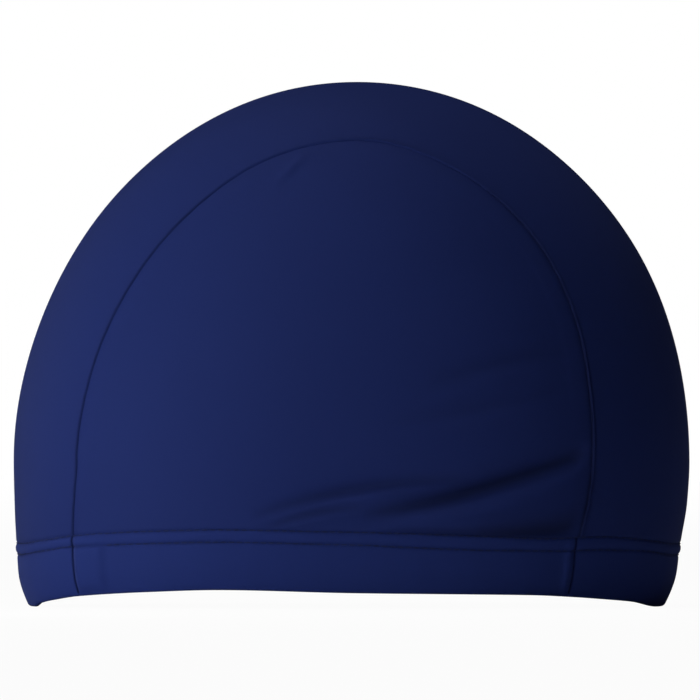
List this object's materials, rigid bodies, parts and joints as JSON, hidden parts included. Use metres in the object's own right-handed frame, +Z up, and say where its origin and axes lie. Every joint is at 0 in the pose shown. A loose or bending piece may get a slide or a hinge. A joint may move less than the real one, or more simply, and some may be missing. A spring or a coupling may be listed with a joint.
{
  "type": "swim cap",
  "caption": "Rounded stretch-fabric swim cap with a centre panel over the crown, a D-shaped panel each side and a stitched hem band round an open rim.",
  "frame": {"origin": "on the surface that the rim rests on, below the middle of the cap", "axes": "+X from the forehead to the nape, +Y towards the wearer's right, +Z up through the crown"},
  "size_m": [0.22, 0.128, 0.1707],
  "materials": {
    "panel_cloth": "navy stretch swim knit, fine wales, faint sheen",
    "hem_cloth": "the same navy knit, doubled and stitched down",
    "seam_thread": "matt navy sewing thread over raw cloth edges"
  },
  "bodies": {
    "root": {"centre_panel": "panel_cloth", "left_panel": "panel_cloth", "right_panel": "panel_cloth", "left_seam_allowance": "seam_thread", "right_seam_allowance": "seam_thread", "front_hem": "hem_cloth", "back_hem": "hem_cloth", "left_hem": "hem_cloth", "right_hem": "hem_cloth"}
  },
  "joints": []
}
